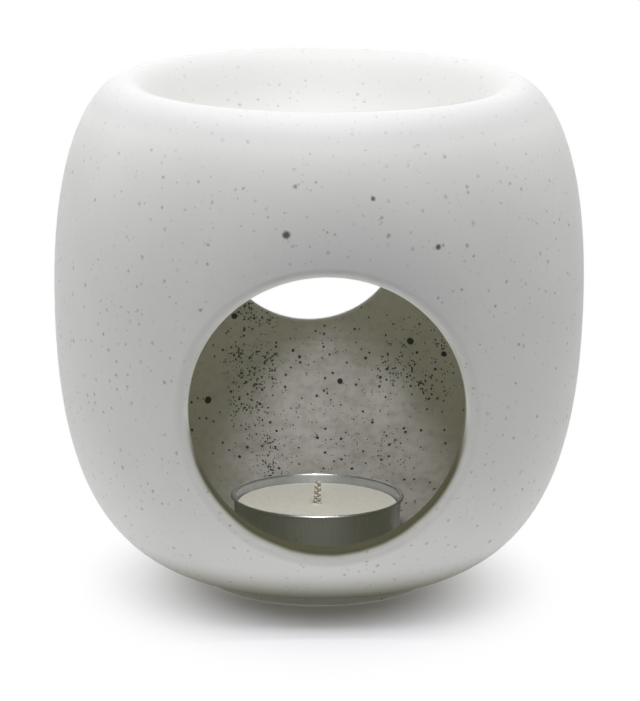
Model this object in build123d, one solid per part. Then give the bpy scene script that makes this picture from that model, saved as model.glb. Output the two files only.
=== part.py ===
from build123d import *
import math
import os

# Stoneware body: a thrown barrel, round in plan, whose wall rolls over into a rim (millimetres throughout)
body_diameter = 115.0
body_height = 111.0
widest_height = 66.5
rim_inset = 15.0
wall = 5.0

# How the wall's curve swells, as shares of the rise and of the run between its two ends
shoulder_upright = 0.73
shoulder_overhang = 0.38
heel_upright = 0.59
heel_spread = 0.74
heel_slope = 11.0

# Foot ring, set in a little from the edge of the underside
foot_diameter = 48.0
foot_height = 2.1
foot_width = 5.5
foot_inset = 1.0
foot_edge_round = 0.5

# Chamber floor, a flat disc with room around the tealight that stands on it
floor_height = 7.7
seat_clearance = 3.0

# Oil bowl: the shares of its radius that stay level at the lip and at the bottom of the dish
bowl_depth = 20.0
bowl_wall = 5.0
bowl_lip_level = 0.22
bowl_dish_level = 0.80

# Mouth, a hand-cut oval in the front wall, standing on its sill and leaning a little to one side
mouth_width = 57.8
mouth_tall = 61.0
mouth_lean = 9.0
sill_height = 18.0
mouth_edge_round = 2.0

# Vent, a round hole high in the back wall, its middle this far below the rim
vent_diameter = 41.4
vent_drop = 44.2
vent_edge_round = 1.5

# Both holes have a finer arris inside the chamber
inner_arris_round = 0.8

# Tealight: a drawn cup, a pressed wax pellet, and a wick crimped in a sustainer under the pellet
cup_diameter = 38.0
cup_height = 11.0
cup_sheet = 0.4
cup_corner_round = 1.2
pellet_height = 8.4
pellet_edge_round = 0.6
pellet_clearance = 0.2
sustainer_diameter = 13.0
sustainer_sheet = 0.4
neck_diameter = 3.2
neck_height = 4.5
wick_diameter = 1.7
wick_showing = 5.0
wick_clearance = 0.05
bore_clearance = 0.15

# Radii and levels that follow from the sizes above
body_radius = body_diameter / 2
rim_radius = body_radius - rim_inset
foot_radius = foot_diameter / 2
underside_radius = foot_radius + foot_inset
cup_radius = cup_diameter / 2
floor_radius = cup_radius + seat_clearance
mouth_level = sill_height + mouth_tall / 2
vent_level = body_height - vent_drop
cup_top = floor_height + cup_height
cup_floor = floor_height + cup_sheet
pellet_bottom = cup_floor + sustainer_sheet
pellet_top = pellet_bottom + pellet_height
neck_top = cup_floor + neck_height
wick_top = pellet_top + wick_showing


def shoulder_curve(radius, top):
    """The wall's line from the widest level, where it is upright, up to the crest of the rim, where it is level."""
    rise = top - widest_height
    run = radius - rim_radius
    return Bezier(
        (radius, widest_height),
        (radius, widest_height + shoulder_upright * rise),
        (rim_radius + shoulder_overhang * run, top),
        (rim_radius, top),
    )


def heel_curve(radius, end_radius, end_height):
    """The wall's line from its lower end, rising at the heel's slope, up to the widest level."""
    spread = heel_spread * (radius - end_radius)
    climb = spread * math.tan(math.radians(heel_slope))
    upright = heel_upright * (widest_height - end_height)
    return Bezier(
        (end_radius, end_height),
        (end_radius + spread, end_height + climb),
        (radius, widest_height - upright),
        (radius, widest_height),
    )


def bowl_curve(top, bottom):
    """The dish's line from the crest of the rim, level there, down to its level middle on the axis."""
    return Bezier(
        (rim_radius, top),
        (rim_radius * (1 - bowl_lip_level), top),
        (rim_radius * bowl_dish_level, bottom),
        (0, bottom),
    )


def turned(*lines):
    """The solid made by a closed outline of radii and heights as it turns about the upright axis."""
    return revolve(Plane.XZ * make_face(lines), axis=Axis.Z)


def disc(radius, low, high):
    """A plain upright disc between two levels."""
    return Pos(0, 0, low) * Cylinder(radius, high - low, align=(Align.CENTER, Align.CENTER, Align.MIN))


def pierce(solid, cut, edge_round):
    """Takes a cut out of a solid and rounds the edge that it leaves outside."""
    pierced = solid - cut
    return fillet(new_edges(solid, cut, combined=pierced), edge_round)


def make_body_shell():
    """The barrel wall from the foot to the crest of the rim, pierced by the mouth and the vent."""
    # The vent's outline starts at its top, clear of the line where the heel meets the shoulder
    top_start = 90
    barrel = turned(
        heel_curve(body_radius, underside_radius, foot_height),
        shoulder_curve(body_radius, body_height),
        Polyline((rim_radius, body_height), (0, body_height), (0, foot_height), (underside_radius, foot_height)),
    )
    hollow = turned(
        heel_curve(body_radius - wall, floor_radius, floor_height),
        shoulder_curve(body_radius - wall, body_height - wall),
        Polyline(
            (rim_radius, body_height - wall),
            (rim_radius, body_height),
            (0, body_height),
            (0, foot_height),
            (floor_radius, foot_height),
            (floor_radius, floor_height),
        ),
    )
    mouth_oval = Pos(0, mouth_level) * Rot(0, 0, mouth_lean) * Ellipse(mouth_width / 2, mouth_tall / 2)
    vent_circle = Pos(0, vent_level) * Rot(0, 0, top_start) * Circle(vent_diameter / 2)
    barrel = pierce(barrel, extrude(Plane.XZ * mouth_oval, amount=body_radius), mouth_edge_round)
    barrel = pierce(barrel, extrude(Plane.XZ * vent_circle, amount=-body_radius), vent_edge_round)
    shell = barrel - hollow
    arrises = new_edges(barrel, hollow, combined=shell).filter_by(GeomType.BSPLINE)
    return fillet(arrises, inner_arris_round)


def make_oil_bowl():
    """The dish let into the top, as thick as the wall where it meets the rim's crest."""
    dish = body_height - bowl_depth
    return turned(
        bowl_curve(body_height, dish),
        Line((0, dish), (0, dish - bowl_wall)),
        bowl_curve(body_height - wall, dish - bowl_wall),
        Line((rim_radius, body_height - wall), (rim_radius, body_height)),
    )


def make_chamber_floor():
    """The disc that closes the barrel's lower end."""
    return disc(floor_radius, foot_height, floor_height)


def make_foot_ring():
    """The low ring under the floor's edge and the wall's lower end, eased where it meets the table."""
    ring = disc(foot_radius, 0, foot_height) - disc(foot_radius - foot_width, 0, foot_height)
    return fillet(ring.edges().group_by(Axis.Z)[0], foot_edge_round)


def make_tealight_cup():
    """The thin drawn cup, round at its lower corner, standing on the chamber floor."""
    outside = disc(cup_radius, floor_height, cup_top)
    outside = fillet(outside.edges().group_by(Axis.Z)[0], cup_corner_round)
    inside = disc(cup_radius - cup_sheet, cup_floor, cup_top)
    inside = fillet(inside.edges().group_by(Axis.Z)[0], cup_corner_round - cup_sheet)
    return outside - inside


def make_tealight_wax():
    """The pressed pellet, bored for the wick above and for the sustainer's neck below."""
    pellet = disc(cup_radius - cup_sheet - pellet_clearance, pellet_bottom, pellet_top)
    pellet = fillet(pellet.edges().filter_by(GeomType.CIRCLE), pellet_edge_round)
    wick_bore = disc(wick_diameter / 2 + bore_clearance, pellet_bottom, pellet_top)
    neck_bore = disc(neck_diameter / 2 + bore_clearance, pellet_bottom, neck_top + bore_clearance)
    return pellet - wick_bore - neck_bore


def make_wick_sustainer():
    """The little disc on the cup's floor, with the neck that grips the wick."""
    plate = disc(sustainer_diameter / 2, cup_floor, pellet_bottom) + disc(neck_diameter / 2, cup_floor, neck_top)
    return plate - disc(wick_diameter / 2 + wick_clearance, cup_floor, neck_top)


def make_tealight_wick():
    """The cotton wick, from the cup's floor to its tip above the wax."""
    return disc(wick_diameter / 2, cup_floor, wick_top)


pieces = {
    "body_shell": make_body_shell(),
    "oil_bowl": make_oil_bowl(),
    "chamber_floor": make_chamber_floor(),
    "foot_ring": make_foot_ring(),
    "tealight_cup": make_tealight_cup(),
    "tealight_wax": make_tealight_wax(),
    "wick_sustainer": make_wick_sustainer(),
    "tealight_wick": make_tealight_wick(),
}

os.makedirs("parts", exist_ok=True)
for name, piece in pieces.items():
    export_step(piece, f"parts/{name}.step")
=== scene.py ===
"""Dresses a speckled stoneware oil burner, and the tealight in its chamber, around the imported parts.

Lengths are metres in the frame of the parts. Sizes are written in millimetres and pass through MM.
"""
from __future__ import annotations

import logging
import math
from dataclasses import dataclass
from enum import Enum

import bmesh
import bpy
from mathutils import Matrix, Vector


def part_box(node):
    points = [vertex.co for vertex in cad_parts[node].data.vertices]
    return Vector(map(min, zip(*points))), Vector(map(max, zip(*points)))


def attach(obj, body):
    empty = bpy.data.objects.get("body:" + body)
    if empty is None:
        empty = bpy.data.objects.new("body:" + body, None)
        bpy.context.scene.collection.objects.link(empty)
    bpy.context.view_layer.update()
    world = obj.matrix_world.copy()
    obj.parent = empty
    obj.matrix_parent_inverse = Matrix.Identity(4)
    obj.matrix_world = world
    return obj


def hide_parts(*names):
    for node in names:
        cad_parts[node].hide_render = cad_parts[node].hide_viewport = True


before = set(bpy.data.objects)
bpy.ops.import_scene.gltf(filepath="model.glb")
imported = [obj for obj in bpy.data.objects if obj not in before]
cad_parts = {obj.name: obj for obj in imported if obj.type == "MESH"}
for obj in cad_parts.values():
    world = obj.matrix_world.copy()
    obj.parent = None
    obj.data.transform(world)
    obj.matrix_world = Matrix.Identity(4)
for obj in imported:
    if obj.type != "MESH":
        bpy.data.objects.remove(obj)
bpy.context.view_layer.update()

LOG = logging.getLogger("oil_burner")
MM = 0.001
WELD = 1e-6

# Sockets of a Mix node that blends colours
MIX_A = 6
MIX_B = 7
MIX_COLOUR = 2


def linear(hex_colour: str) -> tuple[float, float, float, float]:
    """Turns an sRGB hex colour into linear values.

    Args:
        hex_colour: A hash and six hex digits.

    Returns:
        Red, green and blue, with an alpha of 1.
    """
    shares = (int(hex_colour[start:start + 2], 16) / 255 for start in (1, 3, 5))
    red, green, blue = (s / 12.92 if s <= 0.04045 else ((s + 0.055) / 1.055) ** 2.4 for s in shares)
    return red, green, blue, 1.0


def add_node(
    tree: bpy.types.NodeTree, kind: str, feeds: dict | None = None, out: int | str = 0, **settings: object
) -> bpy.types.NodeSocket | None:
    """Adds a node with its settings and links.

    Args:
        tree: The node tree of a material or of the world.
        kind: Blender's name for the node.
        feeds: For each input, by name or number, a plain value or the socket that is linked to it.
        out: The output that is wanted.
        settings: The node's own options.

    Returns:
        That output, or nothing for an output node.
    """
    node = tree.nodes.new(kind)
    for option, value in settings.items():
        setattr(node, option, value)
    for socket, feed in (feeds or {}).items():
        if isinstance(feed, bpy.types.NodeSocket):
            tree.links.new(feed, node.inputs[socket])
        else:
            node.inputs[socket].default_value = feed
    return node.outputs[out] if len(node.outputs) else None


def new_material(name: str) -> bpy.types.Material:
    """Makes an empty node material of that name.

    Args:
        name: The material's name.

    Returns:
        The material, with no nodes yet.
    """
    material = bpy.data.materials.new(name)
    material.use_nodes = True
    material.node_tree.nodes.clear()
    return material


def seen_directly(tree: bpy.types.NodeTree) -> bpy.types.NodeSocket:
    """Gives 1 for what the camera sees, straight or in a reflection, and 0 for light that is thrown back.

    Args:
        tree: The node tree of a material or of the world.

    Returns:
        A socket with that 1 or 0.
    """
    seen = add_node(tree, "ShaderNodeLightPath", out="Is Camera Ray")
    rays = seen.node.outputs
    for kind in ("Is Glossy Ray", "Is Transmission Ray"):
        seen = add_node(tree, "ShaderNodeMath", {0: seen, 1: rays[kind]}, operation="MAXIMUM")
    return seen


def cubic(start: Vector, first: Vector, second: Vector, end: Vector, share: float) -> Vector:
    """Gives a point of a cubic curve at a share of its way, from its four control points."""
    left = 1 - share
    return left**3 * start + 3 * left**2 * share * first + 3 * left * share**2 * second + share**3 * end


@dataclass(frozen=True)
class StonewareForm:
    """Where the stoneware's two sides part, in millimetres: the line halfway through its wall, and its mouth.

    White glaze lies outside that line and on the dish, and the chamber's wash, brushed on thinly, lies on its side of
    it.
    """

    wall_radius: float = 55.0
    wall_top: float = 108.5
    widest_height: float = 66.5
    rim_radius: float = 42.5
    floor_edge: float = 23.5
    floor_middle: float = 4.9
    shoulder_upright: float = 0.73
    shoulder_overhang: float = 0.38
    heel_upright: float = 0.59
    heel_spread: float = 0.74
    heel_slope: float = 11.0
    dish_middle: float = 88.5
    lip_level: float = 0.22
    dish_level: float = 0.80
    mouth_width: float = 57.8
    mouth_tall: float = 61.0
    mouth_level: float = 48.5
    mouth_lean: float = 9.0
    curve_steps: int = 5

    def wall_line(self) -> list[Vector]:
        """Gives points of the wall's middle line, as height and radius, from the floor to the rim.

        Returns:
            The points, in order.
        """
        spread = self.heel_spread * (self.wall_radius - self.floor_edge)
        climb = spread * math.tan(math.radians(self.heel_slope))
        upright = self.heel_upright * (self.widest_height - self.floor_middle)
        rise = self.wall_top - self.widest_height
        run = self.wall_radius - self.rim_radius
        heel = (
            Vector((self.floor_middle, self.floor_edge)),
            Vector((self.floor_middle + climb, self.floor_edge + spread)),
            Vector((self.widest_height - upright, self.wall_radius)),
            Vector((self.widest_height, self.wall_radius)),
        )
        shoulder = (
            heel[3],
            Vector((self.widest_height + self.shoulder_upright * rise, self.wall_radius)),
            Vector((self.wall_top, self.rim_radius + self.shoulder_overhang * run)),
            Vector((self.wall_top, self.rim_radius)),
        )
        shares = [step / self.curve_steps for step in range(self.curve_steps + 1)]
        return [cubic(*heel, share) for share in shares[:-1]] + [cubic(*shoulder, share) for share in shares]

    def dish_line(self) -> list[Vector]:
        """Gives points of the dish's middle line, as radius and height, from the axis to the rim.

        Returns:
            The points, in order.
        """
        controls = (
            Vector((0, self.dish_middle)),
            Vector((self.rim_radius * self.dish_level, self.dish_middle)),
            Vector((self.rim_radius * (1 - self.lip_level), self.wall_top)),
            Vector((self.rim_radius, self.wall_top)),
        )
        return [cubic(*controls, step / self.curve_steps) for step in range(self.curve_steps + 1)]


@dataclass(frozen=True)
class SpeckLayer:
    """Iron specks of one size, scattered through clay and glaze, in millimetres.

    Attributes:
        spacing: Distance from speck to speck.
        radius: Radius of the largest.
        least: The smallest speck's share of that radius.
        core: Share of a speck's radius that is fully dark.
        faint: Strength of the palest speck.
    """

    spacing: float
    radius: float
    least: float = 0.35
    core: float = 0.4
    faint: float = 0.2

    def mask(
        self, tree: bpy.types.NodeTree, point: bpy.types.NodeSocket, gain: float | bpy.types.NodeSocket = 1.0
    ) -> bpy.types.NodeSocket:
        """Draws the specks.

        Args:
            tree: The material's node tree.
            point: The object coordinates.
            gain: A factor on the specks' radius, from place to place.

        Returns:
            A socket that is 1 on the darkest specks and 0 off them all.
        """
        share = self.radius / self.spacing
        near = add_node(tree, "ShaderNodeTexVoronoi", {"Vector": point, "Scale": 1 / (self.spacing * MM)})
        chance = add_node(tree, "ShaderNodeSeparateColor", {0: near.node.outputs["Color"]})
        reach = add_node(
            tree, "ShaderNodeMapRange", {"Value": chance, "To Min": share * self.least, "To Max": share}
        )
        reach = add_node(tree, "ShaderNodeMath", {0: reach, 1: gain}, operation="MULTIPLY")
        core = add_node(tree, "ShaderNodeMath", {0: reach, 1: self.core}, operation="MULTIPLY")
        depth = {"Value": chance.node.outputs[1], "To Min": self.faint, "To Max": 1.0}
        depth = add_node(tree, "ShaderNodeMapRange", depth)
        limits = {"From Min": reach, "From Max": core, "To Max": depth}
        return add_node(tree, "ShaderNodeMapRange", {"Value": near, **limits})


def ragged(
    tree: bpy.types.NodeTree, point: bpy.types.NodeSocket, size: float, amount: float
) -> bpy.types.NodeSocket:
    """Shifts points by a fine noise, so that what is drawn on them gets an uneven edge.

    Args:
        tree: The material's node tree.
        point: The object coordinates.
        size: Size of the noise, in millimetres.
        amount: Length of the widest shift, in millimetres.

    Returns:
        The shifted coordinates.
    """
    noise = {"Vector": point, "Scale": 1 / (size * MM), "Detail": 1.0}
    noise = add_node(tree, "ShaderNodeTexNoise", noise, out="Color")
    centred = add_node(tree, "ShaderNodeVectorMath", {0: noise, 1: (0.5, 0.5, 0.5)}, operation="SUBTRACT")
    amounts = (2 * amount * MM,) * 3
    return add_node(
        tree, "ShaderNodeVectorMath", {0: centred, 1: amounts, 2: point}, operation="MULTIPLY_ADD"
    )


class Face(Enum):
    """The half of the burner that a patch is seen on: the sign of its depth coordinate."""

    FRONT = -1.0
    BACK = 1.0


@dataclass(frozen=True)
class Patch:
    """A round patch on the front or the back wall, in millimetres.

    Attributes:
        face: The wall it lies on.
        across: Its place from the middle, to the right as seen from the front.
        height: Its height.
        radius: Its radius, out to where it has faded.
        core: Share of the radius within which it is at its strongest.
        strength: Its strength there.
    """

    face: Face
    across: float
    height: float
    radius: float
    core: float = 0.5
    strength: float = 1.0


def patches_mask(
    tree: bpy.types.NodeTree, point: bpy.types.NodeSocket, patches: tuple[Patch, ...]
) -> bpy.types.NodeSocket:
    """Draws a group of patches of one wall.

    Args:
        tree: The material's node tree.
        point: The object coordinates.
        patches: The patches, all on one wall.

    Returns:
        A socket that is 1 in the patches, 0 off them and 0 on the other wall.
    """
    flat = add_node(tree, "ShaderNodeVectorMath", {0: point, 1: (1, 0, 1)}, operation="MULTIPLY")
    depth = add_node(tree, "ShaderNodeSeparateXYZ", {0: point}, out="Y")
    depth = add_node(tree, "ShaderNodeMath", {0: depth, 1: patches[0].face.value}, operation="MULTIPLY")
    total = 0.0
    for patch in patches:
        middle = (patch.across * MM, 0, patch.height * MM)
        away = add_node(tree, "ShaderNodeVectorMath", {0: flat, 1: middle}, out="Value", operation="DISTANCE")
        limits = {"From Min": patch.radius * MM, "From Max": patch.radius * patch.core * MM}
        here = {"Value": away, "To Max": patch.strength, **limits}
        here = add_node(tree, "ShaderNodeMapRange", here, interpolation_type="SMOOTHSTEP")
        total = add_node(tree, "ShaderNodeMath", {0: here, 1: total}, operation="MAXIMUM")
    facing = add_node(tree, "ShaderNodeMath", {0: depth, 1: 0.0}, operation="GREATER_THAN")
    return add_node(tree, "ShaderNodeMath", {0: total, 1: facing}, operation="MULTIPLY")


@dataclass(frozen=True)
class ChamberWash:
    """Thin iron-bearing glaze, brushed over the chamber's clay: olive, with crisp dark specks and a painted pool of
    light.

    Sizes are in millimetres. Each break is the pair of noise levels between which a layer comes in.
    """

    olive: str = "#7c7b69"
    # painted light: this pale lilac grey stands for light that falls through the mouth onto the middle of the back
    # wall and floor
    chamber_painted_light: str = "#c3bfbb"
    thick: str = "#5f5d4c"
    iron: str = "#050504"
    cloud_size: float = 14.0
    mottle_size: float = 1.8
    clump_size: float = 2.4
    brush_width: float = 2.2
    brush_length: float = 14.0
    chamber_painted_light_break: tuple[float, float] = (0.3, 0.6)
    chamber_painted_light_least: float = 0.55
    mottle_break: tuple[float, float] = (0.45, 0.75)
    mottle_most: float = 0.3
    stroke_break: tuple[float, float] = (0.5, 0.75)
    stroke_most: float = 0.18
    clump_break: tuple[float, float] = (0.32, 0.58)
    clump_most: float = 1.05
    spray_waver: tuple[float, float] = (0.9, 0.35)
    grit_size: float = 0.8
    grit_depth: float = 0.08
    roughness: float = 0.62
    specks: SpeckLayer = SpeckLayer(spacing=1.8, radius=0.42, least=0.2, core=0.8, faint=0.8)
    blots: SpeckLayer = SpeckLayer(spacing=6.5, radius=0.55, least=0.5, core=0.85, faint=0.85)
    spray: SpeckLayer = SpeckLayer(spacing=0.6, radius=0.4, least=0.1, core=0.85, faint=0.85)
    # painted light: where the painted pool of light lies on the back wall
    chamber_painted_light_patches: tuple[Patch, ...] = (
        Patch(Face.BACK, 5.0, 34.0, 14.0, 0.3, 0.85),
        Patch(Face.BACK, 6.0, 24.0, 24.0, 0.4),
        Patch(Face.BACK, 5.0, 10.0, 33.0, 0.45),
    )
    sprays: tuple[Patch, ...] = (
        Patch(Face.BACK, -12.5, 47.0, 8.0, 0.3),
        Patch(Face.BACK, -13.0, 37.0, 12.0, 0.3),
        Patch(Face.BACK, -13.0, 27.0, 9.0, 0.3),
        Patch(Face.BACK, -11.0, 19.0, 7.0, 0.3, 1.1),
        Patch(Face.BACK, -9.5, 13.5, 4.5, 0.4, 1.2),
        Patch(Face.BACK, 24.0, 38.0, 16.0, 0.3, 0.85),
        Patch(Face.BACK, 17.0, 20.0, 10.0, 0.2, 0.7),
        Patch(Face.BACK, 5.0, 28.0, 24.0, 0.6, 0.5),
    )
    spots: tuple[Patch, ...] = (
        Patch(Face.BACK, -23.4, 30.1, 0.9, 0.7),
        Patch(Face.BACK, 22.9, 42.9, 0.9, 0.7),
        Patch(Face.BACK, 30.3, 41.0, 0.7, 0.7),
        Patch(Face.BACK, 7.0, 32.9, 0.75, 0.7),
        Patch(Face.BACK, -17.3, 48.1, 0.8, 0.7),
    )

    def colour(self, tree: bpy.types.NodeTree, point: bpy.types.NodeSocket) -> bpy.types.NodeSocket:
        """Paints the wash.

        Args:
            tree: The material's node tree.
            point: The object coordinates.

        Returns:
            The wash's colour.
        """
        colour = linear(self.olive)
        cloud = add_node(
            tree, "ShaderNodeTexNoise", {"Vector": point, "Scale": 1 / (self.cloud_size * MM), "Detail": 4.0}
        )
        # painted light: a paler patch on the back wall, broken up by a slow noise
        low, high = self.chamber_painted_light_break
        loose = {"Value": cloud, "From Min": low, "From Max": high, "To Min": self.chamber_painted_light_least}
        loose = add_node(tree, "ShaderNodeMapRange", loose)
        chamber_painted_light = patches_mask(tree, point, self.chamber_painted_light_patches)
        chamber_painted_light = add_node(tree, "ShaderNodeMath", {0: chamber_painted_light, 1: loose}, operation="MULTIPLY")
        mottle = add_node(
            tree, "ShaderNodeTexNoise", {"Vector": point, "Scale": 1 / (self.mottle_size * MM), "Detail": 5.0}
        )
        low, high = self.mottle_break
        mottle = {"Value": mottle, "From Min": low, "From Max": high, "To Max": self.mottle_most}
        mottle = add_node(tree, "ShaderNodeMapRange", mottle)
        stretch = (1 / (self.brush_length * MM), 1 / (self.brush_length * MM), 1 / (self.brush_width * MM))
        strokes = add_node(tree, "ShaderNodeMapping", {"Vector": point, "Scale": stretch})
        strokes = add_node(tree, "ShaderNodeTexNoise", {"Vector": strokes, "Scale": 1.0, "Detail": 2.0})
        low, high = self.stroke_break
        strokes = {"Value": strokes, "From Min": low, "From Max": high, "To Max": self.stroke_most}
        strokes = add_node(tree, "ShaderNodeMapRange", strokes)
        clump = add_node(
            tree, "ShaderNodeTexNoise", {"Vector": point, "Scale": 1 / (self.clump_size * MM), "Detail": 2.0}
        )
        low, high = self.clump_break
        clump = {"Value": clump, "From Min": low, "From Max": high, "To Max": self.clump_most}
        clump = add_node(tree, "ShaderNodeMapRange", clump)
        gain = patches_mask(tree, point, self.sprays)
        gain = add_node(tree, "ShaderNodeMath", {0: gain, 1: clump}, operation="MULTIPLY")
        spray = self.spray.mask(tree, ragged(tree, point, *self.spray_waver), gain)
        dark = self.specks.mask(tree, point)
        for layer in (spray, self.blots.mask(tree, point), patches_mask(tree, point, self.spots)):
            dark = add_node(tree, "ShaderNodeMath", {0: dark, 1: layer}, operation="MAXIMUM")
        coats = ((chamber_painted_light, self.chamber_painted_light), (mottle, self.thick), (strokes, self.thick), (dark, self.iron))
        for mask, tint in coats:
            colour = add_node(
                tree, "ShaderNodeMix", {0: mask, MIX_A: colour, MIX_B: linear(tint)},
                out=MIX_COLOUR, data_type="RGBA",
            )
        return colour

    def material(self) -> bpy.types.Material:
        """Builds the wash for the chamber's floor: dull, with only a faint gleam.

        Returns:
            The material.
        """
        material = new_material("brushed_iron_wash")
        tree = material.node_tree
        point = add_node(tree, "ShaderNodeTexCoord", out="Object")
        colour = self.colour(tree, point)
        grit = add_node(
            tree, "ShaderNodeTexNoise", {"Vector": point, "Scale": 1 / (self.grit_size * MM), "Detail": 3.0}
        )
        normal = {"Strength": 0.25, "Distance": self.grit_depth * MM, "Height": grit}
        normal = add_node(tree, "ShaderNodeBump", normal)
        shader = add_node(
            tree, "ShaderNodeBsdfPrincipled",
            {"Base Color": colour, "Roughness": self.roughness, "IOR": 1.5, "Normal": normal},
        )
        add_node(tree, "ShaderNodeOutputMaterial", {"Surface": shader})
        return material


@dataclass(frozen=True)
class SpeckledGlaze:
    """White stoneware glaze, dipped and fired to a satin, over a clay with iron in it.

    Sizes are in millimetres. The bands round the mouth are shares of the way from its middle to its edge, and depths
    are the strengths of the dust, the fine and coarse specks and the large spots.
    """

    form: StonewareForm = StonewareForm()
    wash: ChamberWash = ChamberWash()
    white: str = "#f0f0ee"
    cloud: str = "#e7e7e5"
    # painted shade: the rim's crest is painted greyer so that its lamp-lit top does not clip
    painted_crest_shade: str = "#e3e3e3"
    # painted shade: the dish is painted darker, for the shade in its hollow
    painted_dish_shade: str = "#dbdbd9"
    # painted shade: a greyer patch over the mouth stands for shade on the front
    front_painted_shade: str = "#d5d7d6"
    lip: str = "#f3f3ec"
    # olive, low on the body above the foot and on the lower edge of the mouth
    low_olive: str = "#8d8a74"
    cut: str = "#55533f"
    fleck: str = "#626262"
    iron: str = "#2c2c2b"
    cloud_size: float = 20.0
    ripple_size: float = 3.0
    ripple_depth: float = 0.05
    blur: float = 0.4
    painted_crest_shade_band: tuple[float, float] = (104.0, 107.5)
    cut_bare: tuple[float, float] = (34.0, 50.0)
    olive_towards_foot: tuple[float, float] = (3.0, 13.5)
    lip_band: tuple[float, float] = (1.055, 1.0)
    cut_band: tuple[float, float] = (1.03, 1.01)
    sawn_band: tuple[float, float] = (1.012, 1.006)
    mouth_waver: tuple[float, float] = (7.0, 0.17)
    speck_waver: tuple[float, float] = (0.7, 0.3)
    painted_dish_shade_edge: float = 0.8
    satin: tuple[float, float] = (0.5, 0.58)
    cut_roughness: float = 0.9
    gleam: float = 0.35
    veil: float = 0.5
    veil_from: float = 0.85
    depths: tuple[float, ...] = (0.7, 0.75, 0.8, 0.9)
    dust: SpeckLayer = SpeckLayer(spacing=1.8, radius=0.4, core=0.0, faint=0.0)
    fine: SpeckLayer = SpeckLayer(spacing=2.4, radius=0.64, core=0.15, faint=0.1)
    coarse: SpeckLayer = SpeckLayer(spacing=6.0, radius=0.75, least=0.3, core=0.2)
    # painted shade over the mouth
    front_painted_shade_patches: tuple[Patch, ...] = (Patch(Face.FRONT, 3.0, 66.0, 34.0, 0.25),)
    spots: tuple[Patch, ...] = (
        Patch(Face.FRONT, -9.1, 87.9, 1.15, 0.35),
        Patch(Face.FRONT, 8.7, 95.1, 0.75, 0.3),
        Patch(Face.FRONT, 22.3, 84.7, 0.8, 0.3),
    )

    @staticmethod
    def draw_curve(node: bpy.types.ShaderNodeFloatCurve, points: list[tuple[float, float]]) -> None:
        """Gives a curve node these points, in order.

        Args:
            node: The curve node.
            points: Its points, from 0 to 1.
        """
        curve = node.mapping.curves[0]
        curve.points[0].location = points[0]
        curve.points[1].location = points[-1]
        for place in points[1:-1]:
            curve.points.new(*place)
        node.mapping.update()

    def chamber_mask(self, tree: bpy.types.NodeTree, point: bpy.types.NodeSocket) -> bpy.types.NodeSocket:
        """Tells the chamber's side of the stoneware from its outside.

        Args:
            tree: The material's node tree.
            point: The object coordinates.

        Returns:
            A socket that is 1 on the chamber's side and 0 outside.
        """
        form = self.form
        height = add_node(tree, "ShaderNodeSeparateXYZ", {0: point}, out="Z")
        height = add_node(tree, "ShaderNodeMath", {0: height, 1: form.wall_top * MM}, operation="DIVIDE")
        level = add_node(tree, "ShaderNodeVectorMath", {0: point, 1: (1, 1, 0)}, operation="MULTIPLY")
        radius = add_node(tree, "ShaderNodeVectorMath", {0: level}, out="Value", operation="LENGTH")
        radius = add_node(tree, "ShaderNodeMath", {0: radius, 1: form.wall_radius * MM}, operation="DIVIDE")
        wall = add_node(tree, "ShaderNodeFloatCurve", {"Value": height})
        self.draw_curve(wall.node, [(p.x / form.wall_top, p.y / form.wall_radius) for p in form.wall_line()])
        dish = add_node(tree, "ShaderNodeFloatCurve", {"Value": radius})
        self.draw_curve(dish.node, [(p.x / form.wall_radius, p.y / form.wall_top) for p in form.dish_line()])
        blur = self.blur / form.wall_radius
        sides = []
        for line, place in ((wall, radius), (dish, height)):
            side = add_node(tree, "ShaderNodeMath", {0: line, 1: place}, operation="SUBTRACT")
            side = add_node(tree, "ShaderNodeMapRange", {"Value": side, "From Min": -blur, "From Max": blur})
            sides.append(side)
        return add_node(tree, "ShaderNodeMath", {0: sides[0], 1: sides[1]}, operation="MULTIPLY")

    def mouth_reach(
        self, tree: bpy.types.NodeTree, point: bpy.types.NodeSocket
    ) -> tuple[bpy.types.NodeSocket, bpy.types.NodeSocket]:
        """Measures how far a point lies from the middle of the mouth.

        Args:
            tree: The material's node tree.
            point: The object coordinates.

        Returns:
            The distance, which is 1 all along the mouth's edge, and a socket that is 1 on the front wall alone.
        """
        form = self.form
        flat = add_node(tree, "ShaderNodeVectorMath", {0: point, 1: (1, 0, 1)}, operation="MULTIPLY")
        place = {
            "Location": (0, 0, form.mouth_level * MM),
            "Rotation": (0, -math.radians(form.mouth_lean), 0),
            "Scale": (form.mouth_width / 2 * MM, 1, form.mouth_tall / 2 * MM),
        }
        oval = add_node(tree, "ShaderNodeMapping", {"Vector": flat, **place}, vector_type="TEXTURE")
        reach = add_node(tree, "ShaderNodeVectorMath", {0: oval}, out="Value", operation="LENGTH")
        depth = add_node(tree, "ShaderNodeSeparateXYZ", {0: point}, out="Y")
        front = add_node(tree, "ShaderNodeMath", {0: depth, 1: 0.0}, operation="LESS_THAN")
        return reach, front

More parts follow.
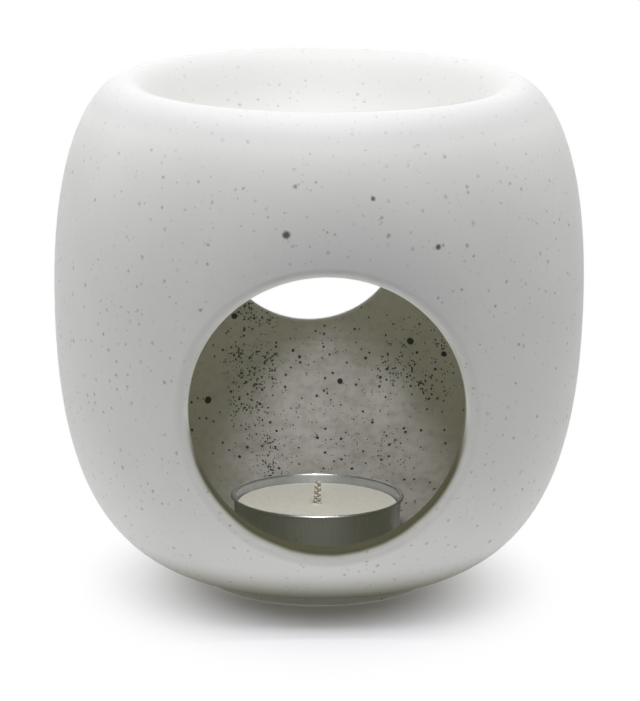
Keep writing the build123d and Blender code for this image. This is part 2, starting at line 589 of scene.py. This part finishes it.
    def outside_colour(
        self, tree: bpy.types.NodeTree, point: bpy.types.NodeSocket, cloud: bpy.types.NodeSocket
    ) -> bpy.types.NodeSocket:
        """Paints the white glaze, the specks that show through it, and painted shade on the crest, in the dish and
        over the mouth.

        Args:
            tree: The material's node tree.
            point: The object coordinates.
            cloud: A slow noise from 0 to 1.

        Returns:
            The glaze's colour.
        """
        height = add_node(tree, "ShaderNodeSeparateXYZ", {0: point}, out="Z")
        # painted shade on the crest, between these heights
        low, high = self.painted_crest_shade_band
        painted_crest_shade = {"Value": height, "From Min": low * MM, "From Max": high * MM}
        painted_crest_shade = add_node(tree, "ShaderNodeMapRange", painted_crest_shade, interpolation_type="SMOOTHSTEP")
        # painted shade in the dish, from the rim inward and above the dish's floor
        inward = add_node(tree, "ShaderNodeVectorMath", {0: point, 1: (1, 1, 0)}, operation="MULTIPLY")
        inward = add_node(tree, "ShaderNodeVectorMath", {0: inward}, out="Value", operation="LENGTH")
        rim = self.form.rim_radius * MM
        inward = {"Value": inward, "From Min": rim, "From Max": rim * self.painted_dish_shade_edge}
        inward = add_node(tree, "ShaderNodeMapRange", inward)
        dish = {0: height, 1: self.form.dish_middle * MM}
        dish = add_node(tree, "ShaderNodeMath", dish, operation="GREATER_THAN")
        dish = add_node(tree, "ShaderNodeMath", {0: inward, 1: dish}, operation="MULTIPLY")
        coats = [
            (cloud, self.cloud), (painted_crest_shade, self.painted_crest_shade), (dish, self.painted_dish_shade),
            (patches_mask(tree, point, self.front_painted_shade_patches), self.front_painted_shade),
        ]
        top = self.form.wall_top * MM
        veil = {"Value": height, "From Min": self.veil_from * top, "From Max": top}
        veil = add_node(tree, "ShaderNodeMapRange", {**veil, "To Min": 1.0, "To Max": self.veil})
        uneven = ragged(tree, point, *self.speck_waver)
        layers = (
            (self.dust.mask(tree, uneven), self.fleck),
            (self.fine.mask(tree, uneven), self.fleck),
            (self.coarse.mask(tree, uneven), self.iron),
            (patches_mask(tree, uneven, self.spots), self.iron),
        )
        for (mask, tint), depth in zip(layers, self.depths):
            share = add_node(tree, "ShaderNodeMath", {0: mask, 1: depth}, operation="MULTIPLY")
            share = add_node(tree, "ShaderNodeMath", {0: share, 1: veil}, operation="MULTIPLY")
            coats.append((share, tint))
        colour = linear(self.white)
        for mask, tint in coats:
            colour = add_node(
                tree, "ShaderNodeMix", {0: mask, MIX_A: colour, MIX_B: linear(tint)},
                out=MIX_COLOUR, data_type="RGBA",
            )
        return colour

    def material(self) -> bpy.types.Material:
        """Builds the glaze. Its satin shows soft broad lights, and grey specks sit a little below its surface.

        Returns:
            The material.
        """
        material = new_material("satin_white_stoneware_glaze")
        tree = material.node_tree
        point = add_node(tree, "ShaderNodeTexCoord", out="Object")
        cloud = add_node(
            tree, "ShaderNodeTexNoise", {"Vector": point, "Scale": 1 / (self.cloud_size * MM), "Detail": 3.0}
        )
        chamber = self.chamber_mask(tree, point)
        mouth, front = self.mouth_reach(tree, ragged(tree, point, *self.mouth_waver))
        height = add_node(tree, "ShaderNodeSeparateXYZ", {0: point}, out="Z")
        upper = {"Value": height, "From Min": self.cut_bare[0] * MM, "From Max": self.cut_bare[1] * MM}
        upper = add_node(tree, "ShaderNodeMapRange", upper, interpolation_type="SMOOTHSTEP")
        lip = add_node(
            tree, "ShaderNodeMix", {0: upper, MIX_A: linear(self.low_olive), MIX_B: linear(self.lip)},
            out=MIX_COLOUR, data_type="RGBA",
        )
        # olive and darker towards the foot, from 13.5 mm down to 3 mm
        foot = {"Value": height, "From Min": self.olive_towards_foot[1] * MM, "From Max": self.olive_towards_foot[0] * MM}
        foot = add_node(tree, "ShaderNodeMapRange", foot, interpolation_type="SMOOTHSTEP")
        outside = self.outside_colour(tree, point, cloud)
        outside = add_node(
            tree, "ShaderNodeMix", {0: foot, MIX_A: outside, MIX_B: linear(self.low_olive)},
            out=MIX_COLOUR, data_type="RGBA",
        )
        lower = add_node(tree, "ShaderNodeMath", {0: front, 1: upper}, operation="SUBTRACT")
        bands = ((self.lip_band, lip, front), (self.cut_band, linear(self.cut), lower))
        for (start, full), tint, side in bands:
            cut = add_node(tree, "ShaderNodeMapRange", {"Value": mouth, "From Min": start, "From Max": full})
            cut = add_node(tree, "ShaderNodeMath", {0: cut, 1: side}, operation="MULTIPLY", use_clamp=True)
            outside = add_node(
                tree, "ShaderNodeMix", {0: cut, MIX_A: outside, MIX_B: tint}, out=MIX_COLOUR, data_type="RGBA"
            )
        inside = self.wash.colour(tree, point)
        start, full = self.sawn_band
        sawn = add_node(tree, "ShaderNodeMapRange", {"Value": mouth, "From Min": start, "From Max": full})
        sawn = add_node(tree, "ShaderNodeMath", {0: sawn, 1: lower}, operation="MULTIPLY", use_clamp=True)
        inside = add_node(
            tree, "ShaderNodeMix", {0: sawn, MIX_A: inside, MIX_B: linear(self.cut)},
            out=MIX_COLOUR, data_type="RGBA",
        )
        colour = add_node(
            tree, "ShaderNodeMix", {0: chamber, MIX_A: outside, MIX_B: inside}, out=MIX_COLOUR, data_type="RGBA"
        )
        satin = {"Value": cloud, "To Min": self.satin[0], "To Max": self.satin[1]}
        satin = add_node(tree, "ShaderNodeMapRange", satin)
        for mask, roughness in ((chamber, self.wash.roughness), (cut, self.cut_roughness)):
            satin = add_node(
                tree, "ShaderNodeMapRange", {"Value": mask, "To Min": satin, "To Max": roughness}
            )
        ripple = add_node(
            tree, "ShaderNodeTexNoise", {"Vector": point, "Scale": 1 / (self.ripple_size * MM), "Detail": 2.0}
        )
        normal = add_node(
            tree, "ShaderNodeBump", {"Strength": 0.3, "Distance": self.ripple_depth * MM, "Height": ripple}
        )
        shader = add_node(
            tree, "ShaderNodeBsdfPrincipled",
            {
                "Base Color": colour, "Roughness": satin, "IOR": 1.5, "Specular IOR Level": self.gleam,
                "Normal": normal,
            },
        )
        add_node(tree, "ShaderNodeOutputMaterial", {"Surface": shader})
        return material


@dataclass(frozen=True)
class BareStoneware:
    """Iron-bearing stoneware left unglazed and sponged: dull olive grey, gritty, a little paler where it is rubbed."""

    clay: str = "#bcbaac"
    rubbed: str = "#cccabc"
    grit: str = "#67655a"
    grain_size: float = 1.2
    grain_depth: float = 0.12
    specks: SpeckLayer = SpeckLayer(spacing=1.5, radius=0.32, core=0.5)

    def material(self) -> bpy.types.Material:
        """Builds the bare clay, which throws back no gleam.

        Returns:
            The material.
        """
        material = new_material("sponged_bare_stoneware")
        tree = material.node_tree
        point = add_node(tree, "ShaderNodeTexCoord", out="Object")
        grain = add_node(
            tree, "ShaderNodeTexNoise", {"Vector": point, "Scale": 1 / (self.grain_size * MM), "Detail": 5.0}
        )
        colour = linear(self.clay)
        for mask, tint in ((grain, self.rubbed), (self.specks.mask(tree, point), self.grit)):
            colour = add_node(
                tree, "ShaderNodeMix", {0: mask, MIX_A: colour, MIX_B: linear(tint)},
                out=MIX_COLOUR, data_type="RGBA",
            )
        normal = add_node(
            tree, "ShaderNodeBump", {"Strength": 0.6, "Distance": self.grain_depth * MM, "Height": grain}
        )
        shader = add_node(
            tree, "ShaderNodeBsdfPrincipled",
            {"Base Color": colour, "Roughness": 0.85, "IOR": 1.5, "Normal": normal},
        )
        add_node(tree, "ShaderNodeOutputMaterial", {"Surface": shader})
        return material


@dataclass(frozen=True)
class SheetMetal:
    """Thin drawn sheet: bright, with faint upright lines from the die that drew it."""

    name: str
    colour: str
    dull: str
    roughness: float
    line_width: float = 0.35
    line_length: float = 12.0

    def material(self) -> bpy.types.Material:
        """Builds the sheet, whose drawing lines break up its reflections.

        Returns:
            The material.
        """
        material = new_material(self.name)
        tree = material.node_tree
        point = add_node(tree, "ShaderNodeTexCoord", out="Object")
        stretch = (1 / (self.line_width * MM), 1 / (self.line_width * MM), 1 / (self.line_length * MM))
        lines = add_node(tree, "ShaderNodeMapping", {"Vector": point, "Scale": stretch})
        lines = add_node(tree, "ShaderNodeTexNoise", {"Vector": lines, "Scale": 1.0, "Detail": 3.0})
        colour = add_node(
            tree, "ShaderNodeMix", {0: lines, MIX_A: linear(self.colour), MIX_B: linear(self.dull)},
            out=MIX_COLOUR, data_type="RGBA",
        )
        gloss = {"To Min": self.roughness - 0.08, "To Max": self.roughness + 0.08}
        gloss = add_node(tree, "ShaderNodeMapRange", {"Value": lines, **gloss})
        normal = add_node(tree, "ShaderNodeBump", {"Strength": 0.2, "Distance": 0.02 * MM, "Height": lines})
        shader = add_node(
            tree, "ShaderNodeBsdfPrincipled",
            {"Base Color": colour, "Metallic": 1.0, "Roughness": gloss, "Normal": normal},
        )
        add_node(tree, "ShaderNodeOutputMaterial", {"Surface": shader})
        return material


@dataclass(frozen=True)
class PressedWax:
    """Paraffin pressed from granules: milky, with a fine crystal mottle, and light that sinks a little way in."""

    milk: str = "#e9e6de"
    shade: str = "#dcd8cd"
    crystal_size: float = 0.9
    sink: float = 1.2

    def material(self) -> bpy.types.Material:
        """Builds the wax, whose mottle shows softly under a dull gleam.

        Returns:
            The material.
        """
        material = new_material("pressed_paraffin_wax")
        tree = material.node_tree
        point = add_node(tree, "ShaderNodeTexCoord", out="Object")
        crystals = add_node(
            tree, "ShaderNodeTexVoronoi", {"Vector": point, "Scale": 1 / (self.crystal_size * MM)}
        )
        colour = add_node(
            tree, "ShaderNodeMix", {0: crystals, MIX_A: linear(self.milk), MIX_B: linear(self.shade)},
            out=MIX_COLOUR, data_type="RGBA",
        )
        normal = add_node(tree, "ShaderNodeBump", {"Strength": 0.25, "Distance": 0.05 * MM, "Height": crystals})
        shader = add_node(
            tree, "ShaderNodeBsdfPrincipled",
            {
                "Base Color": colour, "Roughness": 0.42, "IOR": 1.43, "Subsurface Weight": 0.2,
                "Subsurface Radius": (1.0, 0.8, 0.6), "Subsurface Scale": self.sink * MM, "Normal": normal,
            },
        )
        add_node(tree, "ShaderNodeOutputMaterial", {"Surface": shader})
        return material


@dataclass(frozen=True)
class BraidedCotton:
    """Bleached cotton yarn, braided and primed with wax: off-white, matt, with a fine fibre along each strand."""

    yarn: str = "#efebe0"
    shade: str = "#cfc8b6"
    fibre_size: float = 0.18

    def material(self) -> bpy.types.Material:
        """Builds the yarn, with a soft sheen at its edges.

        Returns:
            The material.
        """
        material = new_material("waxed_braided_cotton")
        tree = material.node_tree
        point = add_node(tree, "ShaderNodeTexCoord", out="Object")
        fibre = add_node(
            tree, "ShaderNodeTexNoise", {"Vector": point, "Scale": 1 / (self.fibre_size * MM), "Detail": 3.0}
        )
        colour = add_node(
            tree, "ShaderNodeMix", {0: fibre, MIX_A: linear(self.shade), MIX_B: linear(self.yarn)},
            out=MIX_COLOUR, data_type="RGBA",
        )
        normal = add_node(tree, "ShaderNodeBump", {"Strength": 0.4, "Distance": 0.05 * MM, "Height": fibre})
        shader = add_node(
            tree, "ShaderNodeBsdfPrincipled",
            {"Base Color": colour, "Roughness": 0.8, "Sheen Weight": 0.3, "Normal": normal},
        )
        add_node(tree, "ShaderNodeOutputMaterial", {"Surface": shader})
        return material


@dataclass(frozen=True)
class StudioPaper:
    """White paper under the burner. It looks white a little way off, and holds the shadow near the foot.

    Attributes:
        gain: How much brighter the camera sees the lit paper than its own colour.
        tint: That colour, a little cool against the olive light that the foot throws on it.
        bounce: The colour that the paper throws back onto the burner.
        glow: Strength of the light that comes up through the paper round the foot.
        glow_reach: From where to where that light fades, from the burner's axis, in millimetres.
        middle: Where the shadow is held, from the burner's axis towards the front, in millimetres.
        spread: How far to the side and to the front the shadow fades out, in millimetres.
        near: Share of that spread within which the paper shows most of its shading.
        lift: Share of plain white that is left in the shadow's deepest part.
    """

    gain: float = 0.85
    tint: str = "#f8f8ff"
    bounce: str = "#cbcbcb"
    glow: float = 0.265
    glow_reach: tuple[float, float] = (60.0, 180.0)
    middle: float = -6.0
    spread: tuple[float, float] = (55.0, 76.0)
    near: float = 0.26
    lift: float = 0.05

    def material(self) -> bpy.types.Material:
        """Builds the paper: white where the camera looks, dimmer in what it throws back.

        Returns:
            The material.
        """
        material = new_material("white_studio_paper")
        tree = material.node_tree
        point = add_node(tree, "ShaderNodeTexCoord", out="Object")
        place = {"Location": (0, self.middle * MM, 0), "Scale": (self.spread[0] * MM, self.spread[1] * MM, 1)}
        away = add_node(tree, "ShaderNodeMapping", {"Vector": point, **place}, vector_type="TEXTURE")
        away = add_node(tree, "ShaderNodeVectorMath", {0: away}, out="Value", operation="LENGTH")
        away = {"Value": away, "From Min": self.near, "From Max": 1.0, "To Min": self.lift}
        away = add_node(tree, "ShaderNodeMapRange", away, interpolation_type="SMOOTHSTEP")
        shaded = tuple(self.gain * share for share in linear(self.tint))
        lit = add_node(tree, "ShaderNodeBsdfDiffuse", {"Color": shaded})
        white = add_node(tree, "ShaderNodeEmission", {"Color": linear("#ffffff"), "Strength": 1.0})
        bright = add_node(tree, "ShaderNodeMixShader", {0: away, 1: lit, 2: white})
        dim = add_node(tree, "ShaderNodeBsdfDiffuse", {"Color": linear(self.bounce)})
        ring = add_node(tree, "ShaderNodeVectorMath", {0: point}, out="Value", operation="LENGTH")
        ring = {
            "Value": ring, "From Min": self.glow_reach[1] * MM, "From Max": self.glow_reach[0] * MM,
            "To Max": self.glow,
        }
        ring = add_node(tree, "ShaderNodeMapRange", ring, interpolation_type="SMOOTHSTEP")
        through = add_node(tree, "ShaderNodeEmission", {"Color": linear("#ffffff"), "Strength": ring})
        dim = add_node(tree, "ShaderNodeAddShader", {0: dim, 1: through})
        shader = add_node(tree, "ShaderNodeMixShader", {0: seen_directly(tree), 1: dim, 2: bright})
        add_node(tree, "ShaderNodeOutputMaterial", {"Surface": shader})
        return material


def new_piece(name: str, shape: bmesh.types.BMesh) -> bpy.types.Object:
    """Makes a smooth-shaded object of a finished shape.

    Args:
        name: The piece's name.
        shape: Its shape, which is used up.

    Returns:
        The object, at the origin.
    """
    mesh = bpy.data.meshes.new(name)
    shape.to_mesh(mesh)
    shape.free()
    mesh.shade_smooth()
    piece = bpy.data.objects.new(name, mesh)
    bpy.context.scene.collection.objects.link(piece)
    return piece


def lathe(shape: bmesh.types.BMesh, outline: list[tuple[float, float]], steps: int) -> None:
    """Turns an outline about the upright axis and closes it.

    Args:
        shape: The shape that takes the turned faces.
        outline: Radii and heights in millimetres, in order.
        steps: Number of steps in the full turn.
    """
    points = [shape.verts.new((radius * MM, 0, height * MM)) for radius, height in outline]
    lines = [shape.edges.new(pair) for pair in zip(points, points[1:])]
    bmesh.ops.spin(
        shape, geom=points + lines, cent=(0, 0, 0), axis=(0, 0, 1), angle=math.tau, steps=steps, use_merge=True
    )
    bmesh.ops.remove_doubles(shape, verts=shape.verts[:], dist=WELD)
    bmesh.ops.recalc_face_normals(shape, faces=shape.faces[:])


def dress_node(node: str, material: bpy.types.Material) -> None:
    """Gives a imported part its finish.

    Args:
        node: The part's name.
        material: Its finish.
    """
    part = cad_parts[node]
    if not part.material_slots:
        part.data.materials.append(None)
    for slot in part.material_slots:
        slot.material = material
    LOG.info("dressed %s in %s", node, material.name)


@dataclass
class Stoneware:
    """The fired body: barrel wall, dish, chamber floor and foot ring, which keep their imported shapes."""

    glaze: SpeckledGlaze = SpeckledGlaze()
    wash: ChamberWash = ChamberWash()
    foot: BareStoneware = BareStoneware()

    def dress(self) -> None:
        """Glazes the wall and the dish as one, washes the floor, and leaves the foot bare."""
        glaze = self.glaze.material()
        for node in ("body_shell", "oil_bowl"):
            dress_node(node, glaze)
        dress_node("chamber_floor", self.wash.material())
        dress_node("foot_ring", self.foot.material())


class Ply(Enum):
    """The way a wick's strand winds as it climbs."""

    LEFT = -1
    RIGHT = 1


@dataclass
class Tealight:
    """The loose tealight: a drawn cup, its wax, its braided wick, and the tin disc under the wax, in millimetres."""

    sheet: float = 0.35
    bead: float = 0.38
    draft: float = 0.45
    base_step: float = 0.5
    flutes: int = 72
    flute_depth: float = 0.12
    wax_gap: float = 0.25
    wax_dish: float = 0.6
    strands: int = 3
    strand_radius: float = 0.4
    strand_pitch: float = 3.4
    strand_sides: int = 10
    turn_steps: int = 20
    metal: SheetMetal = SheetMetal("bright_drawn_aluminium", "#d9dbdd", "#c3c6c9", 0.3)
    tin: SheetMetal = SheetMetal("tinned_steel_sheet", "#c9cac8", "#b4b5b2", 0.35)
    wax: PressedWax = PressedWax()
    cotton: BraidedCotton = BraidedCotton()

    def __post_init__(self) -> None:
        """Takes the cup's and the wax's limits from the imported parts."""
        low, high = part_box("tealight_cup")
        self.radius = high.x / MM
        self.base = low.z / MM
        self.rim = high.z / MM
        low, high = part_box("tealight_wax")
        self.wax_base = low.z / MM
        self.wax_top = high.z / MM
        low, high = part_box("tealight_wick")
        self.wick_radius = high.x / MM
        self.wick_base = low.z / MM
        self.wick_tip = high.z / MM

    def wall_radius(self, height: float) -> float:
        """Gives the cup's outer radius at a height: it narrows a little towards its base."""
        top = self.radius - 2 * self.bead + self.sheet / 2
        return top - self.draft * (self.rim - height) / (self.rim - self.base)

    def build_cup(self) -> bpy.types.Object:
        """Draws the cup: a stepped base, a fluted wall and a rolled lip.

        Returns:
            The cup.
        """
        shape = bmesh.new()
        base, rim, sheet = self.base, self.rim, self.sheet
        heel = self.wall_radius(base)
        step = base + self.base_step
        lip = rim - self.bead
        outer = [
            (0, step), (heel * 0.62, step), (heel * 0.68, base), (heel - 1.2, base), (heel - 0.45, base + 0.2),
            (heel - 0.08, base + 0.7), (self.wall_radius(base + 1.4), base + 1.4),
            (self.wall_radius(rim - 1.4), rim - 1.4), (self.wall_radius(lip), lip),
        ]
        inner = [(max(radius - sheet, 0), height + sheet * (height < base + 1)) for radius, height in outer]
        lathe(shape, outer + inner[::-1], 2 * self.flutes)
        for vert in shape.verts:
            column = round((math.atan2(vert.co.y, vert.co.x) / math.tau) * 2 * self.flutes)
            if column % 2 and (base + 1.2) * MM < vert.co.z < (rim - 1.2) * MM:
                reach = vert.co.xy.length
                vert.co.xy *= (reach - self.flute_depth * MM) / reach
        turned = Matrix.Translation(((self.radius - self.bead) * MM, 0, lip * MM)) @ Matrix.Rotation(
            math.pi / 2, 4, "X"
        )
        bead = bmesh.ops.create_circle(shape, segments=12, radius=self.bead * MM, matrix=turned)["verts"]
        ring = list({line for vert in bead for line in vert.link_edges})
        bmesh.ops.spin(
            shape, geom=bead + ring, cent=(0, 0, 0), axis=(0, 0, 1), angle=math.tau,
            steps=2 * self.flutes, use_merge=True,
        )
        bmesh.ops.recalc_face_normals(shape, faces=shape.faces[:])
        piece = new_piece("drawn_cup", shape)
        piece.data.set_sharp_from_angle(angle=math.radians(50))
        return piece

    def build_wax(self) -> bpy.types.Object:
        """Presses the wax: a soft outer edge, a shallow dish, and a little well that climbs the wick.

        Returns:
            The wax.
        """
        shape = bmesh.new()
        low, top = self.wax_base, self.wax_top
        foot = self.wall_radius(low) - self.sheet - self.wax_gap
        side = self.wall_radius(top) - self.sheet - self.wax_gap
        outline = [
            (0, low), (foot - 0.5, low), (foot, low + 0.5), (side, top - 0.7), (side - 0.15, top - 0.2),
            (side - 0.6, top), (side - 1.4, top - 0.1), (side * 0.5, top - self.wax_dish), (3.0, top - self.wax_dish),
            (1.3, top - self.wax_dish), (0.9, top - 0.2), (0, top - 0.1),
        ]
        lathe(shape, outline, 64)
        piece = new_piece("pressed_wax", shape)
        smooth = piece.modifiers.new("soft_edges", "SUBSURF")
        smooth.levels = 2
        smooth.render_levels = 2
        return piece

    def add_strand(self, shape: bmesh.types.BMesh, ply: Ply, phase: float) -> None:
        """Winds one strand of the wick.

        Args:
            shape: The shape that takes the strand.
            ply: The way it winds.
            phase: Its start, as a share of a full turn.
        """
        climb = self.wick_tip - self.wick_base - 2 * self.strand_radius
        turns = climb / self.strand_pitch
        steps = round(turns * self.turn_steps)
        orbit = self.wick_radius - self.strand_radius
        start = (
            Matrix.Rotation(phase * math.tau, 4, "Z")
            @ Matrix.Translation((orbit * MM, 0, (self.wick_base + self.strand_radius) * MM))
            @ Matrix.Rotation(math.pi / 4 * ply.value, 4, "X")
        )
        ends = bmesh.ops.create_circle(
            shape, segments=self.strand_sides, radius=self.strand_radius * MM, matrix=start
        )["verts"]
        lines = list({line for vert in ends for line in vert.link_edges})
        bmesh.ops.spin(
            shape, geom=ends + lines, cent=(0, 0, 0), axis=(0, 0, 1), dvec=(0, 0, climb / steps * MM),
            angle=turns * math.tau * ply.value, steps=steps,
        )

    def build_wick(self) -> bpy.types.Object:
        """Braids the wick from strands that wind both ways.

        Returns:
            The wick.
        """
        shape = bmesh.new()
        for ply in Ply:
            for strand in range(self.strands):
                self.add_strand(shape, ply, (strand + 0.25 * ply.value) / self.strands)
        loose = [line for line in shape.edges if line.is_boundary]
        bmesh.ops.holes_fill(shape, edges=loose, sides=0)
        bmesh.ops.recalc_face_normals(shape, faces=shape.faces[:])
        return new_piece("braided_wick", shape)

    def build(self) -> None:
        """Builds and dresses the tealight's pieces, which move as one."""
        pieces = (
            (self.build_cup(), "tealight_cup", "drawn_aluminium", self.metal),
            (self.build_wax(), "tealight_wax", "pressed_wax", self.wax),
            (self.build_wick(), "tealight_wick", "cotton_wick", self.cotton),
        )
        for piece, node, slot, finish in pieces:
            piece.data.materials.append(finish.material())
            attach(piece, "tealight")
            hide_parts(node)
            LOG.info("built %s for %s", piece.name, node)
        dress_node("wick_sustainer", self.tin.material())


@dataclass(frozen=True)
class Softbox:
    """A square studio lamp.

    Attributes:
        name: The lamp's name.
        place: Where it stands, in metres.
        target: The point that it faces, in metres.
        width: Its side, in metres.
        power: Its power, in watts.
    """

    name: str
    place: tuple[float, float, float]
    width: float
    power: float
    target: tuple[float, float, float] = (0.0, 0.0, 0.0575)

    def set_up(self) -> bpy.types.Object:
        """Stands the lamp in its place, facing its target, out of the camera's sight.

        Returns:
            The lamp's object.
        """
        lamp = bpy.data.lights.new(self.name, "AREA")
        lamp.shape = "SQUARE"
        lamp.size = self.width
        lamp.energy = self.power
        stand = bpy.data.objects.new(self.name, lamp)
        stand.location = self.place
        stand.rotation_euler = (Vector(self.target) - Vector(self.place)).to_track_quat("-Z", "Y").to_euler()
        stand.visible_camera = False
        bpy.context.scene.collection.objects.link(stand)
        return stand


@dataclass(frozen=True)
class Studio:
    """Floor, soft light and camera.

    Attributes:
        ambient: Strength of the even light from all round.
        lamps: The softboxes.
        floor_width: Side of the floor, in metres.
        azimuth: The camera's turn from the front, in degrees.
        elevation: The camera's tilt above the level, in degrees.
        roll: The camera's turn about its own line of sight, in degrees.
        distance: From the camera to the point on the axis that it is set out from, in millimetres.
        aim_height: Height of that point, in millimetres.
        aim_pixel: The pixel at which that point is seen.
        focal_pixels: Focal length, in pixels of the picture.
        picture: Width and height of the picture, in pixels.
        sensor: Width of the camera's sensor, in millimetres.
    """

    ambient: float = 0.02
    lamps: tuple[Softbox, ...] = (
        Softbox("overhead_softbox", (0.0, 0.05, 1.0), 0.6, 3.2),
        Softbox("forward_softbox", (0.0, -0.2, 1.0), 0.6, 6.9),
        Softbox("left_high_softbox", (-0.8, -0.1, 0.8), 0.6, 1.0),
        Softbox("right_high_softbox", (0.8, -0.1, 0.8), 0.6, 0.35),
        Softbox("left_back_softbox", (-0.9, 0.35, 0.3), 0.6, 1.8),
        Softbox("right_back_softbox", (0.9, 0.35, 0.3), 0.6, 1.4),
        Softbox("chamber_fill", (0.0, -0.038, 0.081), 0.02, 0.042, (0.0, 0.03, 0.045)),
    )
    floor_width: float = 8.0
    azimuth: float = -2.4
    elevation: float = 12.474
    roll: float = 0.444
    distance: float = 977.5
    aim_height: float = 57.5
    aim_pixel: tuple[float, float] = (318.57, 321.80)
    focal_pixels: float = 4484.6
    picture: tuple[int, int] = (640, 701)
    sensor: float = 36.0

    def lay_floor(self) -> bpy.types.Object:
        """Lays the paper floor at the foot ring's level.

        Returns:
            The floor.
        """
        shape = bmesh.new()
        bmesh.ops.create_grid(shape, x_segments=2, y_segments=2, size=self.floor_width / 2)
        floor = new_piece("studio_floor", shape)
        floor.data.materials.append(StudioPaper().material())
        return floor

    def light(self) -> None:
        """Shows the world white, lets it light the burner faintly, and sets up the softboxes."""
        world = bpy.data.worlds.new("soft_studio")
        world.use_nodes = True
        tree = world.node_tree
        tree.nodes.clear()
        white = linear("#ffffff")
        light = add_node(tree, "ShaderNodeBackground", {"Color": white, "Strength": self.ambient})
        shown = add_node(tree, "ShaderNodeBackground", {"Color": white, "Strength": 1.0})
        shader = add_node(tree, "ShaderNodeMixShader", {0: seen_directly(tree), 1: light, 2: shown})
        add_node(tree, "ShaderNodeOutputWorld", {"Surface": shader})
        bpy.context.scene.world = world
        for lamp in self.lamps:
            lamp.set_up()

    def place_camera(self) -> bpy.types.Object:
        """Stands the camera at the photograph's angle, with no shift.

        Returns:
            The camera's object.
        """
        turn = math.radians(self.azimuth)
        tilt = math.radians(self.elevation)
        back = Vector((math.sin(turn) * math.cos(tilt), -math.cos(turn) * math.cos(tilt), math.sin(tilt)))
        target = Vector((0, 0, self.aim_height * MM))
        camera = bpy.data.cameras.new("studio_camera")
        camera.sensor_fit = "AUTO"
        camera.sensor_width = self.sensor
        camera.lens = self.focal_pixels / max(self.picture) * self.sensor
        stand = bpy.data.objects.new("studio_camera", camera)
        aside = math.atan((self.picture[0] / 2 - self.aim_pixel[0]) / self.focal_pixels)
        below = math.atan((self.picture[1] / 2 - self.aim_pixel[1]) / self.focal_pixels)
        facing = (-back).to_track_quat("-Z", "Y").to_matrix().to_4x4()
        nudge = Matrix.Rotation(-aside, 4, "Y") @ Matrix.Rotation(-below, 4, "X")
        spin = Matrix.Rotation(math.radians(self.roll), 4, "Z")
        stand.matrix_world = Matrix.Translation(target + back * self.distance * MM) @ facing @ nudge @ spin
        bpy.context.scene.collection.objects.link(stand)
        bpy.context.scene.camera = stand
        return stand


def main() -> None:
    """Builds the burner's sub-assemblies in order, then the studio, and logs what it set up."""
    logging.basicConfig(level=logging.INFO, format="%(name)s: %(message)s")
    bpy.context.scene.view_settings.view_transform = "Standard"
    Stoneware().dress()
    Tealight().build()
    studio = Studio()
    floor = studio.lay_floor()
    studio.light()
    camera = studio.place_camera()
    LOG.info("set up %s, %d lamps and %s", floor.name, len(studio.lamps), camera.name)


if __name__ == "__main__":
    main()
